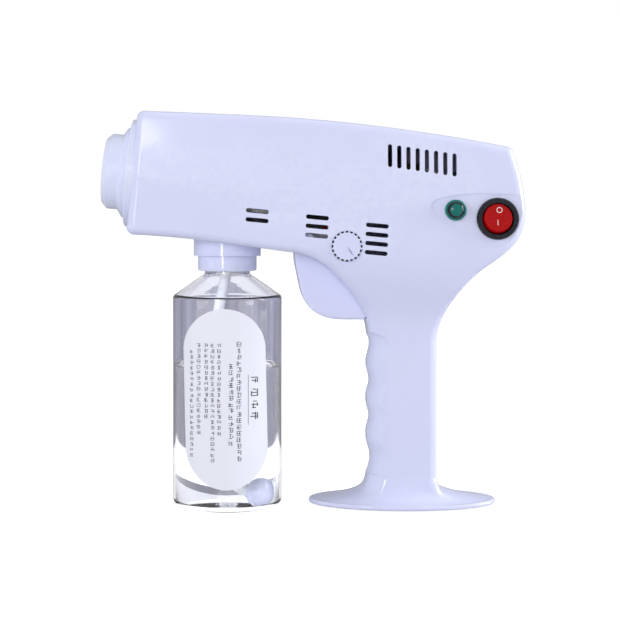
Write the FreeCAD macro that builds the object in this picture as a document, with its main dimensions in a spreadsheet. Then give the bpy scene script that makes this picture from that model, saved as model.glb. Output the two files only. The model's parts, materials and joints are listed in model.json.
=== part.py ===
import FreeCAD, Part
import math
import os
import re
import Sketcher

# Hand-held heated mist gun, millimetres.
# Origin: on the floor under the middle of the foot. +Z up, the nose points to -X,
# the side with the dial, lamp and rocker switch faces -Y.

V = FreeCAD.Vector
doc = FreeCAD.newDocument("mist_gun")

SIZES = [
    ("wall", 2.2, "shell wall"),
    ("half_width", 31.6, "widest half width of the barrel"),
    ("top_round", 5.0, "rounding of the upper and rear edges"),
    ("front_round", 4.2, "rounding of the front and lower edges"),
    ("grip_round", 12.0, "rounding where the cove meets the grip"),
    ("grip_b", 17.0, "half width of the grip"),
    ("foot_a", 53.2, "half length of the foot"),
    ("foot_b", 26.0, "half width of the foot"),
    ("rim_low", 0.7, "height of the foot rim lower edge"),
    ("rim_high", 3.3, "height of the foot rim upper edge"),
    ("nose_tilt", 5.3, "nose-up tilt of the barrel axis, degrees"),
    ("ring_one", 21.45, "radius of the front nose step"),
    ("ring_two", 25.55, "radius of the middle nose step"),
    ("ring_three", 30.65, "radius of the rear nose step"),
    ("mouth", 16.5, "radius of the nose opening"),
    ("bottle_x", -99.8, "bottle axis"),
    ("bottle_radius", 31.05, "bottle outside radius"),
    ("bottle_wall", 1.0, "bottle wall"),
    ("bottle_floor", 0.5, "height of the bottle base"),
    ("heel_round", 3.0, "rounding of the bottle base"),
    ("shoulder_low", 118.6, "bottom of the bottle shoulder"),
    ("shoulder_high", 130.4, "top of the bottle shoulder"),
    ("neck_radius", 12.9, "bottle neck radius"),
    ("neck_top", 139.2, "top of the bottle neck"),
    ("cap_radius", 16.75, "cap ring radius"),
    ("cap_low", 132.8, "bottom of the cap ring"),
    ("cap_high", 141.3, "top of the cap ring"),
    ("socket_radius", 19.15, "bottle socket radius"),
    ("socket_low", 141.4, "bottom of the bottle socket"),
    ("tube_r", 3.1, "suction tube outside radius"),
    ("tube_bore", 2.2, "suction tube bore radius"),
    ("ball_r", 7.2, "filter weight radius"),
    ("label_half", 22.8, "half width of the label"),
    ("label_span", 26.9, "half height of the straight part of the label"),
    ("trigger_half", 11.0, "half width of the trigger"),
    ("pin_x", -55.5, "trigger pin"),
    ("pin_z", 150.5, "trigger pin"),
    ("pin_r", 2.0, "trigger pin radius"),
    ("dial_x", -33.8, "dial axis"),
    ("dial_z", 147.3, "dial axis"),
    ("dial_r", 8.4, "dial radius"),
    ("lamp_x", 25.6, "indicator lamp axis"),
    ("lamp_z", 167.1, "indicator lamp axis"),
    ("lamp_r", 5.75, "indicator bezel radius"),
    ("rocker_x", 48.7, "rocker switch axis"),
    ("rocker_z", 162.4, "rocker switch axis"),
    ("rocker_r", 11.5, "rocker switch bezel radius"),
    ("button_r", 8.3, "rocker button sphere radius"),
    ("slot_long", 12.6, "vent slot length"),
    ("slot_wide", 2.4, "vent slot width"),
    ("screw_r", 1.4, "shell screw shank radius"),
    ("boss_r", 3.6, "screw boss radius"),
    ("hose_r", 3.0, "silicone hose outside radius"),
    ("hose_bore", 1.6, "silicone hose bore radius"),
    ("heater_wide", 32.0, "heater block width"),
    ("heater_high", 26.0, "heater block height"),
    ("pump_x", -14.0, "middle of the pump coil"),
    ("pump_z", 188.0, "pump axis"),
    ("coil_r", 13.0, "pump coil radius"),
    ("coil_long", 24.0, "pump coil length"),
    ("pad_r", 4.0, "rubber pad radius"),
]

sheet = doc.addObject("Spreadsheet::Sheet", "Sizes")
for row, (alias, number, note) in enumerate(SIZES, start=1):
    sheet.set("A%d" % row, alias)
    sheet.set("B%d" % row, str(number))
    sheet.set("C%d" % row, note)
    sheet.setAlias("B%d" % row, alias)
doc.recompute()

NODES = []
SIDE = FreeCAD.Rotation(V(1, 0, 0), 90)


def bound(text):
    """Expression text with every size name pointed at the sheet."""
    return re.sub(r"[a-z]+(_[a-z]+)*", lambda word: "Sizes." + word.group(0), text)


NUMBERS = {alias: float(sheet.get(alias)) for alias, number, note in SIZES}


def value(text):
    """Number given by a size, or by sizes added, subtracted, multiplied or halved."""
    if not isinstance(text, str):
        return float(text)
    total = 0.0
    for sign, term in re.findall(r"([+-]?)\s*([^+\s-]+)", text):
        number = 1.0
        for step, factor in re.findall(r"([*/]?)([a-z_0-9.]+)", term):
            amount = NUMBERS[factor] if factor in NUMBERS else float(factor)
            number = number / amount if step == "/" else number * amount
        total += -number if sign == "-" else number
    return total


def bind(thing, **sizes):
    for name, text in sizes.items():
        thing.setExpression(name, bound(text))
    return thing


def place(thing, at=(0, 0, 0), turn=None):
    """Put a thing at a point; a point given in words stays bound to the sheet."""
    thing.Placement = FreeCAD.Placement(V(*[value(p) for p in at]), turn or FreeCAD.Rotation())
    for letter, part in zip("xyz", at):
        if isinstance(part, str):
            thing.setExpression("Placement.Base." + letter, bound(part))
    return thing


def node(thing, name):
    """Name a finished piece; it will be written out under this name."""
    thing.Label = name
    NODES.append(thing)
    return thing


# ---------------------------------------------------------------- simple solids

def box(name, size, corner, turn=None):
    thing = doc.addObject("Part::Box", name)
    for prop, text in zip(("Length", "Width", "Height"), size):
        if isinstance(text, str):
            thing.setExpression(prop, bound(text))
        else:
            setattr(thing, prop, text)
    return place(thing, corner, turn)


def rod(name, radius, length, at, turn=None):
    thing = doc.addObject("Part::Cylinder", name)
    for prop, text in (("Radius", radius), ("Height", length)):
        if isinstance(text, str):
            thing.setExpression(prop, bound(text))
        else:
            setattr(thing, prop, text)
    return place(thing, at, turn)


def join(name, things):
    thing = doc.addObject("Part::MultiFuse", name)
    thing.Shapes = things
    return thing


def cut(name, base, tool):
    thing = doc.addObject("Part::Cut", name)
    thing.Base = base
    thing.Tool = tool
    return thing


def common(name, things):
    thing = doc.addObject("Part::MultiCommon", name)
    thing.Shapes = things
    return thing


# ---------------------------------------------------------------- sketched solids

def outline(sketch, points):
    """Closed polygon; every corner is held by a size across and a size up."""
    spots = [V(value(a), value(b), 0) for a, b in points]
    first = sketch.GeometryCount
    for i, spot in enumerate(spots):
        sketch.addGeometry(Part.LineSegment(spot, spots[(i + 1) % len(spots)]), False)
    for i, (a, b) in enumerate(points):
        index = first + i
        after = first + (i + 1) % len(points)
        sketch.addConstraint(Sketcher.Constraint("Coincident", index, 2, after, 1))
        for kind, text in (("DistanceX", a), ("DistanceY", b)):
            number = sketch.addConstraint(Sketcher.Constraint(kind, -1, 1, index, 1, value(text)))
            if isinstance(text, str):
                sketch.setExpression("Constraints[%d]" % number, bound(text))


def circle(sketch, across, up, radius):
    index = sketch.addGeometry(Part.Circle(V(value(across), value(up), 0), V(0, 0, 1), value(radius)), False)
    for kind, text in (("DistanceX", across), ("DistanceY", up)):
        sketch.addConstraint(Sketcher.Constraint(kind, -1, 1, index, 3, value(text)))
    number = sketch.addConstraint(Sketcher.Constraint("Radius", index, value(radius)))
    if isinstance(radius, str):
        sketch.setExpression("Constraints[%d]" % number, bound(radius))


def new_body(name, plane):
    """Body with an empty sketch on one of its own planes."""
    body = doc.addObject("PartDesign::Body", name)
    sketch = body.newObject("Sketcher::SketchObject", name + "_sketch")
    flat = [f for f in body.Origin.OriginFeatures if f.Role == plane][0]
    sketch.AttachmentSupport = (flat, [""])
    sketch.MapMode = "FlatFace"
    return body, sketch


def lathe(name, points, at=(0, 0, 0), turn=None):
    """Turned piece about its own Z; points are (radius, height)."""
    body, sketch = new_body(name, "XZ_Plane")
    outline(sketch, points)
    turned = body.newObject("PartDesign::Revolution", name + "_turned")
    turned.Profile = sketch
    turned.ReferenceAxis = (sketch, ["V_Axis"])
    turned.Angle = 360
    body.Tip = turned
    return place(body, at, turn)


def plate(name, points, holes, thick, at=(0, 0, 0), turn=None, plane="XZ_Plane"):
    """Flat plate, half its thickness each side of the sketch."""
    body, sketch = new_body(name, plane)
    outline(sketch, points)
    for across, up, radius in holes:
        circle(sketch, across, up, radius)
    pad = body.newObject("PartDesign::Pad", name + "_pad")
    pad.Profile = sketch
    pad.Midplane = True
    if isinstance(thick, str):
        pad.setExpression("Length", bound(thick))
    else:
        pad.Length = thick
    body.Tip = pad
    return place(body, at, turn)


def soften(body, radius, spots):
    """Round the circular edges of a turned piece at (radius, height) spots."""
    doc.recompute()
    base = body.Tip
    names = []
    for number, edge in enumerate(base.Shape.Edges, start=1):
        if not isinstance(edge.Curve, Part.Circle):
            continue
        height = edge.Curve.Center.z
        for r, z in spots:
            if abs(edge.Curve.Radius - value(r)) < 0.02 and abs(height - value(z)) < 0.02:
                names.append("Edge%d" % number)
    fillet = body.newObject("PartDesign::Fillet", "%s_round%d" % (body.Name, len(body.Group)))
    fillet.Base = (base, names)
    if isinstance(radius, str):
        fillet.setExpression("Radius", bound(radius))
    else:
        fillet.Radius = radius
    body.Tip = fillet
    return body


def spline(points):
    curve = Part.BSplineCurve()
    curve.interpolate([V(a, b, 0) for a, b in points])
    return curve


def line(a, b):
    return Part.LineSegment(V(a[0], a[1], 0), V(b[0], b[1], 0))


def curves(name, pieces, turn):
    sketch = doc.addObject("Sketcher::SketchObject", name)
    sketch.Placement = FreeCAD.Placement(V(), turn)
    for piece in pieces:
        sketch.addGeometry(piece, False)
    return sketch


def extrude(name, sketch, direction, length):
    thing = doc.addObject("Part::Extrusion", name)
    thing.Base = sketch
    thing.DirMode = "Custom"
    thing.Dir = direction
    thing.LengthFwd = length
    thing.Symmetric = True
    thing.Solid = True
    return thing


def block_reach(direction, a, b):
    """Distance from the middle to the edge of a block with large front and small rear corners."""
    radius = value("grip_round" if direction.x < 0 else "top_round")
    reach = min(a / max(abs(direction.x), 1e-9), b / max(abs(direction.y), 1e-9))
    corner = V(math.copysign(a - radius, direction.x), math.copysign(b - radius, direction.y), 0)
    if reach * abs(direction.x) > abs(corner.x) and reach * abs(direction.y) > abs(corner.y):
        along = corner.dot(direction)
        reach = along + math.sqrt(radius ** 2 - corner.dot(corner) + along ** 2)
    return reach


def grip_section(name, front, rear, half, share, height):
    """Closed section that turns from an ellipse into the rounded block of the grip as share goes to 1."""
    a = (rear - front) / 2
    spots = []
    for step in range(48):
        angle = 2 * math.pi * step / 48
        spot = V(a * math.cos(angle), half * math.sin(angle), 0)
        reach = spot.Length
        direction = V(spot).normalize()
        reach += share * (block_reach(direction, a, half) - reach)
        spots.append(V((front + rear) / 2, 0, 0) + direction * reach)
    curve = Part.BSplineCurve()
    curve.interpolate(spots, PeriodicFlag=True)
    sketch = doc.addObject("Sketcher::SketchObject", name)
    sketch.addGeometry(curve, False)
    sketch.Placement = FreeCAD.Placement(V(0, 0, height), FreeCAD.Rotation())
    return sketch


def bent(spots):
    """Path of straight runs joined by the widest arcs that fit the corners."""
    edges = []
    start = spots[0]
    for before, corner, after in zip(spots, spots[1:], spots[2:]):
        into = (corner - before).normalize()
        away = (after - corner).normalize()
        half = into.getAngle(away) / 2
        if half < 0.005:
            continue
        reach = 0.48 * min((corner - before).Length, (after - corner).Length)
        bow = reach / math.sin(half) - reach / math.tan(half)
        first = corner - into * reach
        last = corner + away * reach
        middle = corner + (away - into).normalize() * bow
        edges.append(Part.LineSegment(start, first).toShape())
        edges.append(Part.Arc(first, middle, last).toShape())
        start = last
    edges.append(Part.LineSegment(start, spots[-1]).toShape())
    return Part.Wire(edges)


def hose(name, points, radius, bore=None):
    """Soft hose or cable bent along a row of points."""
    spots = [V(*[value(p) for p in spot]) for spot in points]
    spine = bent(spots)
    solids = []
    for size in (radius, bore):
        if size is not None:
            ring = Part.Circle(spots[0], spots[1] - spots[0], value(size)).toShape()
            solids.append(spine.makePipe(Part.Face(Part.Wire([ring]))))
    shape = solids[0] if len(solids) == 1 else solids[0].cut(solids[1])
    thing = doc.addObject("Part::Feature", name)
    thing.Shape = shape
    thing.Placement = FreeCAD.Placement()
    return thing


# ---------------------------------------------------------------- outside form of the gun

WALL = value("wall")
HALF = value("half_width")
SLOPE = V(1, 0, -0.095)
FRONT = FreeCAD.Rotation(V(1, 1, 1), 120)

# corners of the side view, (x, z)
TOP_FRONT = (-149.0, 222.3)
TOP_REAR = (57.4, 201.9)
GRIP_REAR = (18.2, 92.0)
GRIP_FRONT = (-20.4, 92.0)
COVE_FRONT = (-62.0, 143.6)
LOW_FRONT = (-155.4, 153.8)

SIDE_RUNS = [
    [TOP_FRONT, (-114, 220.9), (-70, 218.8), (-26, 214.9), (18, 208.9), TOP_REAR],
    [TOP_REAR, (61.4, 190), (64.2, 176), (64.8, 163), (62.6, 154.5), (59.0, 148.5), (52.4, 142.2),
     (45.6, 137.2), (36.6, 130.0), (28.6, 120.5), (22.8, 111.0), (19.4, 102), GRIP_REAR],
    [GRIP_REAR, GRIP_FRONT],
    [GRIP_FRONT, (-21.2, 104.5), (-25.5, 114.5), (-32, 123.4), (-39, 131.2), (-46.2, 137.4),
     (-54, 141.4), COVE_FRONT],
    [COVE_FRONT, (-80, 146.0), (-117, 150.9), LOW_FRONT],
    [LOW_FRONT, TOP_FRONT],
]

# half width against height, measured in the plane of the origin
LOW_SIDE = [(17.0, 70), (17.0, 96), (18.4, 106), (22.5, 117), (27.3, 128), (30.1, 139),
            (31.0, 152), (HALF, 171.5)]
HIGH_SIDE = [(HALF, 171.5), (31.0, 190), (29.8, 212), (28.6, 226)]


def inward(runs, gap):
    """Side view pulled in by the wall thickness, run by run."""
    middle = V(-50, 0, 180)
    pulled = []
    for run in runs:
        shifted = []
        for i, spot in enumerate(run):
            before = run[max(i - 1, 0)]
            after = run[min(i + 1, len(run) - 1)]
            length = math.hypot(after[0] - before[0], after[1] - before[1])
            shifted.append((spot[0] + gap * (after[1] - before[1]) / length,
                            spot[1] - gap * (after[0] - before[0]) / length))
        pulled.append(shifted)
    for i, run in enumerate(pulled):
        following = pulled[(i + 1) % len(pulled)]
        meet = crossing(run[-2], run[-1], following[0], following[1])
        run[-1] = meet
        following[0] = meet
    return pulled


def crossing(a, b, c, d):
    """Point where line a-b meets line c-d."""
    det = (b[0] - a[0]) * (d[1] - c[1]) - (b[1] - a[1]) * (d[0] - c[0])
    if abs(det) < 1e-6:
        return b
    run = ((c[0] - a[0]) * (d[1] - c[1]) - (c[1] - a[1]) * (d[0] - c[0])) / det
    return (a[0] + run * (b[0] - a[0]), a[1] + run * (b[1] - a[1]))


def gun_form(name, gap):
    """Side view and front view crossed with each other, shrunk by a gap."""
    runs = inward(SIDE_RUNS, gap) if gap else SIDE_RUNS
    pieces = []
    for run in runs:
        pieces.append(spline(run) if len(run) > 2 else line(run[0], run[1]))
    side = extrude(name + "_side", curves(name + "_side_view", pieces, SIDE), V(0, 1, 0), 90)
    low = [(w - gap, z) for w, z in LOW_SIDE]
    high = [(w - gap, z) for w, z in HIGH_SIDE]
    flip = [[(-w, z) for w, z in run] for run in (high, low)]
    pieces = [spline(low), spline(high), line(high[-1], flip[0][-1]),
              spline(flip[0]), spline(flip[1]), line(flip[1][0], low[0])]
    front = extrude(name + "_front", curves(name + "_front_view", pieces, FRONT), SLOPE, 420)
    return common(name, [side, front])


def rounded_form():
    """Outside form with all its edges rounded."""
    raw = gun_form("form", 0)
    doc.recompute()
    edges = []
    for number, edge in enumerate(raw.Shape.Edges, start=1):
        middle = edge.valueAt((edge.FirstParameter + edge.LastParameter) / 2)
        ends = [edge.valueAt(edge.FirstParameter), edge.valueAt(edge.LastParameter)]
        across = abs(ends[0].y - ends[1].y) > 20
        if middle.z < 95 or abs(abs(middle.y) - HALF) < 0.15 and edge.Length > 100:
            continue
        if across and -70 < middle.x < -50 or is_cove(edge):
            continue
        upper = not across and (middle.z > 205 or middle.x > 25)
        radius = value("top_round" if upper else "front_round")
        edges.append((number, radius, radius))
    return rounded("form_rounded", raw, edges + cove_edges(raw, 0))


def is_cove(edge):
    middle = edge.valueAt((edge.FirstParameter + edge.LastParameter) / 2)
    low = min(edge.valueAt(edge.FirstParameter).z, edge.valueAt(edge.LastParameter).z)
    return abs(middle.y) > 5 and -52 < middle.x < -20 and 100 < middle.z < 142 and low < 95


def cove_edges(raw, gap):
    """Edges of the cove, with a rounding that grows towards the grip."""
    edges = []
    for number, edge in enumerate(raw.Shape.Edges, start=1):
        if is_cove(edge):
            radii = [value("grip_round") - gap, value("front_round") - gap]
            if edge.valueAt(edge.FirstParameter).z > edge.valueAt(edge.LastParameter).z:
                radii.reverse()
            edges.append((number, radii[0], radii[1]))
    return edges


def rounded(name, raw, edges):
    form = doc.addObject("Part::Fillet", name)
    form.Base = raw
    form.Edges = edges
    return form


def grip_form():
    """Grip column and the flare that spreads into the foot."""
    b = value("grip_b")
    front, top = GRIP_FRONT
    rear = GRIP_REAR[0]
    flare = [(-52.4, 52.4, 25.2, 0.0, 2.9), (-44.0, 44.0, 22.8, 0.0, 4.0), (-35.8, 35.4, 20.7, 0.2, 5.3),
             (-27.8, 27.0, 18.9, 0.5, 7.3), (-23.6, 21.9, 17.8, 0.8, 9.4),
             (front - 1.0, rear + 1.2, b + 0.3, 1.0, 12.2), (front + 0.4, rear - 0.4, b - 0.3, 1.0, 18.0)]
    loft = doc.addObject("Part::Loft", "foot_flare")
    loft.Sections = [grip_section("flare_%d" % i, *cut_at) for i, cut_at in enumerate(flare)]
    loft.Solid = True
    block = box("grip_block", (rear - front, 2 * b, top - 11.0), (front, -b, 11.0))
    doc.recompute()
    edges = []
    for number, edge in enumerate(block.Shape.Edges, start=1):
        if edge.Length > 50:
            radius = value("top_round" if edge.Vertexes[0].X > 0 else "grip_round")
            edges.append((number, radius, radius))
    column = rounded("grip_column", block, edges)
    return loft, column


def foot_rim():
    body, sketch = new_body("foot_rim", "XY_Plane")
    sketch.addGeometry(Part.Ellipse(V(0, 0, 0), value("foot_a"), value("foot_b")), False)
    pad = body.newObject("PartDesign::Pad", "foot_rim_pad")
    pad.Profile = sketch
    pad.setExpression("Length", bound("rim_high - rim_low"))
    body.Tip = pad
    doc.recompute()
    fillet = body.newObject("PartDesign::Fillet", "foot_rim_round")
    fillet.Base = (pad, ["Edge%d" % n for n, e in enumerate(pad.Shape.Edges, 1) if e.Length > 50])
    fillet.Radius = 1.0
    body.Tip = fillet
    return place(body, (0, 0, "rim_low"))


def finger_grooves():
    """Wavy cutter swung round the front of the grip."""
    wave = [(22.6, 99.0), (19.2, 90.5), (21.2, 80.5), (19.4, 70.6), (21.5, 60.0), (19.5, 50.6),
            (21.5, 39.6), (19.0, 29.0), (20.6, 18.0), (23.0, 9.0)]
    pieces = [spline(wave), line(wave[-1], (32, 9.0)), line((32, 9.0), (32, 99.0)), line((32, 99.0), wave[0])]
    thing = doc.addObject("Part::Revolution", "grooves")
    thing.Source = curves("groove_wave", pieces, SIDE)
    thing.Axis = V(0, 0, 1)
    thing.Base = V(0, 0, 0)
    thing.Angle = 150
    thing.Symmetric = True
    thing.Solid = True
    thing.Placement = FreeCAD.Placement(V(0.3, 0, 0), FreeCAD.Rotation(V(0, 0, 1), 180))
    return thing


form = rounded_form()
flare, column = grip_form()
upper = cut("upper_grooved", join("upper_form", [form, column]), finger_grooves())
outside = join("outside", [upper, flare, foot_rim()])

inner_grip = doc.addObject("Part::Extrusion", "inner_grip")
inner_grip.Base = grip_section("inner_grip_outline", GRIP_FRONT[0] + 4.2, GRIP_REAR[0] - WALL,
                               value("grip_b") - WALL, 1.0, 7.0)
inner_grip.DirMode = "Custom"
inner_grip.Dir = V(0, 0, 1)
inner_grip.LengthFwd = 92.0
inner_grip.Solid = True
hollow = gun_form("hollow", WALL)
doc.recompute()
inside = join("inside", [rounded("hollow_rounded", hollow, cove_edges(hollow, WALL)), inner_grip])


# ---------------------------------------------------------------- openings and ribs of the shells

SCREWS = [(-139, 208), (-140, 165), (-20, 207), (45, 196), (58, 178), (6, 112), (4, 60), (4, 19)]
FOOT_SCREWS = [(-26, -7), (-26, 7), (26, -7), (26, 7)]
PADS = [(0, 0), (-35, -9), (-35, 9), (35, -9), (35, 9)]
BACK = FreeCAD.Rotation(V(1, 0, 0), -90)
NOSE = FreeCAD.Rotation(V(0, 1, 0), value("nose_tilt") - 90)
ALONG_X = FreeCAD.Rotation(V(0, 1, 0), 90)


def nose_point(up, out, along):
    """Point given from the barrel axis: up, sideways, and forward of the body front face."""
    return tuple(V(-152.8, 0, 188.45) + NOSE.multVec(V(up, out, along)))


def slot(name, at, lay, side):
    """One vent slot with round ends, as a cutter through one side wall."""
    wide = value("slot_wide") / 2
    half = value("slot_long") / 2 - wide
    pieces = [line((-half, -wide), (half, -wide)), line((half, wide), (-half, wide)),
              Part.ArcOfCircle(Part.Circle(V(half, 0, 0), V(0, 0, 1), wide), -math.pi / 2, math.pi / 2),
              Part.ArcOfCircle(Part.Circle(V(-half, 0, 0), V(0, 0, 1), wide), math.pi / 2, 3 * math.pi / 2)]
    sketch = curves(name + "_sketch", pieces, SIDE)
    sketch.Placement = FreeCAD.Placement(at, lay.multiply(SIDE))
    cutter = doc.addObject("Part::Extrusion", name)
    cutter.Base = sketch
    cutter.DirMode = "Custom"
    cutter.Dir = V(0, side, 0)
    cutter.LengthFwd = 20
    cutter.Solid = True
    return cutter


def slots(name, side):
    """Vent slots of one side: three groups along the barrel and a row of eight uprights."""
    cutters = []
    lay = FreeCAD.Rotation(V(0, 1, 0), 5.4)
    for across, up, count in [(-82.9, 166.6, 2), (-50.0, 163.1, 3), (-17.1, 158.6, 4)]:
        for i in range(count):
            at = V(across - 0.2 * i, side * 25, up - 5.0 * i)
            cutters.append(slot("%s_slot_%d_%d" % (name, count, i), at, lay, side))
    for i in range(8):
        at = V(-10.1 + 5.05 * i, side * 25, 197.0 - 0.73 * i)
        upright = FreeCAD.Rotation(V(0, 1, 0), 90)
        cutters.append(slot("%s_upright_%d" % (name, i), at, upright, side))
    return cutters


def side_rod(name, radius, length, x, z, start):
    """Rod along +Y beginning at a given Y."""
    return rod(name, radius, length, (x, start, z), BACK)


def half_shell(name, side):
    """One half of the shell: side -1 is the left half, +1 the right half."""
    room = box(name + "_room", (400, 60, 300), (-200, -60 if side < 0 else 0, -20))
    skin = common(name + "_skin", [cut(name + "_hollowed", outside, inside), room])
    start = -40 if side < 0 else 0
    posts = [side_rod("%s_post%d" % (name, i), "boss_r", 40, x, z, start) for i, (x, z) in enumerate(SCREWS)]
    posts.append(side_rod(name + "_pin_post", 4.2, 28.5, "pin_x", "pin_z", -40 if side < 0 else 11.5))
    posts += ribs(name, side)
    inner = common(name + "_posts", [join(name + "_all_posts", posts), outside])
    solid = join(name + "_solid", [skin, inner])
    return node(cut(name, solid, join(name + "_openings", openings(name, side))), name)


def ribs(name, side):
    """Ribs that carry the heater, the pump, the switch and the control board."""
    start = -30 if side < 0 else 14
    found = [box("%s_rib%d" % (name, i), (2.0, 16, high), (x, start, low))
             for i, (x, low, high) in enumerate([(-109, 147, 20.6), (-72, 143, 21.2)])]
    if side < 0:
        found.append(box(name + "_spring_seat", (9, 33.5, 1.8), (-33.5, -30, 168.0)))
        found.append(box(name + "_switch_seat", (21, 33.2, 2.0), (-54.5, -30, 169.1)))
    else:
        found.append(box(name + "_pump_rib", (2.0, 16, 40), (-26, 13.6, 133.2)))
        found.append(box(name + "_board_rib", (26, 22, 2.0), (29, 8.8, 146.6)))
    found.append(box(name + "_groove_pad", (9.5, 14, 12), (-24, -14 if side < 0 else 0, 89)))
    return found


def openings(name, side):
    """Everything cut out of one half of the shell."""
    tools = [rod(name + "_nose_hole", 24.2, 14, nose_point(0, 0, -9), NOSE)]
    tools.append(rod(name + "_socket_hole", 16.1, 30, ("bottle_x", 0, 130)))
    tools.append(side_rod(name + "_pin_hole", "pin_r + 0.05", 34, "pin_x", "pin_z", -17))
    tools.append(trigger_slot(name))
    tools.append(ellipse_disc(name + "_plate_room", 49.0, 22.0, 2.5, 0.4))
    for i, (x, y) in enumerate(FOOT_SCREWS):
        tools.append(rod("%s_foot_pilot%d" % (name, i), "screw_r + 0.05", 6.0, (x, y, 1.0)))
    for i, (x, z) in enumerate(SCREWS):
        tools.append(side_rod("%s_pilot%d" % (name, i), "screw_r + 0.05", 26.5, x, z, -13))
        if side > 0:
            tools.append(side_rod("%s_head_room%d" % (name, i), 3.0, 30, x, z, 10))
    if side < 0:
        tools += slots(name, side)
        tools.append(side_rod("dial_hole", "dial_r + 0.08", 20, "dial_x", "dial_z", -45))
        tools.append(side_rod("lamp_hole", "lamp_r - 0.5", 20, "lamp_x", "lamp_z", -45))
        tools.append(side_rod("rocker_hole", "rocker_r - 1.55", 20, "rocker_x", "rocker_z", -45))
        tools.append(panel_recess())
    else:
        tools.append(box("inlet_hole", (17.2, 20, 12.2), (-8.6, 8, 28.9)))
        tools.append(box("hose_notch", (8, 6.5, 7.4), (-29, 12.3, 155.6)))
    return tools


def trigger_slot(name):
    """Opening in the cove that the trigger moves through."""
    run = [(-63.5, 138), (-63.5, 146.8), (-56, 146.8), (-47, 142.6), (-38, 135.6), (-31, 128),
           (-24, 118.6), (-17.5, 108.2), (-20.7, 106.6), (-23.4, 104.9), (-30, 104.9), (-45, 120)]
    return plate(name + "_trigger_slot", run, [], "2*trigger_half + 1.2")


def panel_recess():
    """Shallow teardrop recess around the lamp and the rocker switch."""
    low = [(12.3, 169.9), (14.2, 164.8), (19.9, 160.3), (30.9, 155.5), (45.7, 149.8), (58, 146.8), (78, 144)]
    high = [(12.3, 169.9), (14.5, 172.4), (19.9, 174.3), (30.9, 175.9), (45, 176.2), (78, 175.6)]
    pieces = [spline(low), spline(high), line(low[-1], high[-1])]
    sketch = curves("panel_outline", pieces, SIDE)
    sketch.Placement = FreeCAD.Placement(V(0, -30.8, 0), SIDE)
    cutter = doc.addObject("Part::Extrusion", "panel_recess")
    cutter.Base = sketch
    cutter.DirMode = "Custom"
    cutter.Dir = V(0, -1, 0)
    cutter.LengthFwd = 10
    cutter.Solid = True
    return cutter


def ellipse_disc(name, a, b, thick, low):
    body, sketch = new_body(name, "XY_Plane")
    sketch.addGeometry(Part.Ellipse(V(0, 0, 0), a, b), False)
    pad = body.newObject("PartDesign::Pad", name + "_pad")
    pad.Profile = sketch
    pad.Length = thick
    body.Tip = pad
    return place(body, (0, 0, low))


half_shell("left_shell", -1)
half_shell("right_shell", 1)


# ---------------------------------------------------------------- nose, lamp ring and nozzle

cover = lathe("nose_steps", [
    (20.1, -3.0), (24.0, -3.0), (24.0, 0.05), ("ring_three", 0.05), ("ring_three", 3.2),
    ("ring_two", 3.2), ("ring_two", 5.3), ("ring_one", 8.0), ("ring_one", 14.0),
    ("ring_one - 3", 17.0), ("mouth", 17.0), ("mouth", 14.8), (20.1, 14.8)], nose_point(0, 0, 0), NOSE)
soften(cover, 1.0, [("ring_three", 3.2), ("mouth", 17.0)])
soften(cover, 0.6, [("ring_two", 5.3), ("ring_one - 3", 17.0), ("ring_one", 14.0)])
skirt = lathe("nose_skirt", [(24.6, -8.0), ("ring_three", -8.0), ("ring_three", 0.6), (24.6, 0.6)],
              nose_point(0, 0, 0), NOSE)
node(join("nose_cover_solid", [cover, cut("nose_skirt_fit", skirt, outside)]), "nose_cover")
node(lathe("led_board", [(9, 10.0), (20.0, 10.0), (20.0, 11.4), (9, 11.4)], nose_point(0, 0, 0), NOSE),
     "led_board")
lamps = []
for i in range(8):
    angle = math.radians(45 * i)
    spot = nose_point(14.5 * math.cos(angle), 14.5 * math.sin(angle), 11.4)
    lamps.append(rod("led_%d" % i, 1.7, 1.4, spot, NOSE))
node(join("led_lamps", lamps), "led_lamps")
node(lathe("led_lens", [(9, 13.0), (20.0, 13.0), (20.0, 14.75), (9, 14.75)], nose_point(0, 0, 0), NOSE),
     "led_lens")
node(lathe("nozzle_stem", [(1.0, -39.9), (4.0, -39.9), (4.0, 6.0), (1.0, 6.0)], nose_point(0, 0, 0), NOSE),
     "nozzle_stem")
tip = lathe("nozzle_turned", [(0.5, 6.2), (4.05, 6.2), (4.05, 1.0), (7.4, 1.0), (7.4, 7.0), (3.2, 12.5),
                              (0.5, 12.5)], nose_point(0, 0, 0), NOSE)
hexagon = doc.addObject("Part::Prism", "nozzle_hex")
hexagon.Polygon = 6
hexagon.Circumradius = 7.3
hexagon.Height = 14
place(hexagon, nose_point(0, 0, 0), NOSE)
node(common("nozzle_tip", [tip, hexagon]), "nozzle_tip")


# ---------------------------------------------------------------- heater

def nose_box(name, high, wide, back, front):
    """Box centred on the barrel axis between two distances forward of the body front."""
    thing = box(name, (1, 1, 1), nose_point(-value(high) / 2, -value(wide) / 2, back), NOSE)
    thing.Length = value(high)
    thing.Width = value(wide)
    thing.Height = front - back
    return thing


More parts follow.
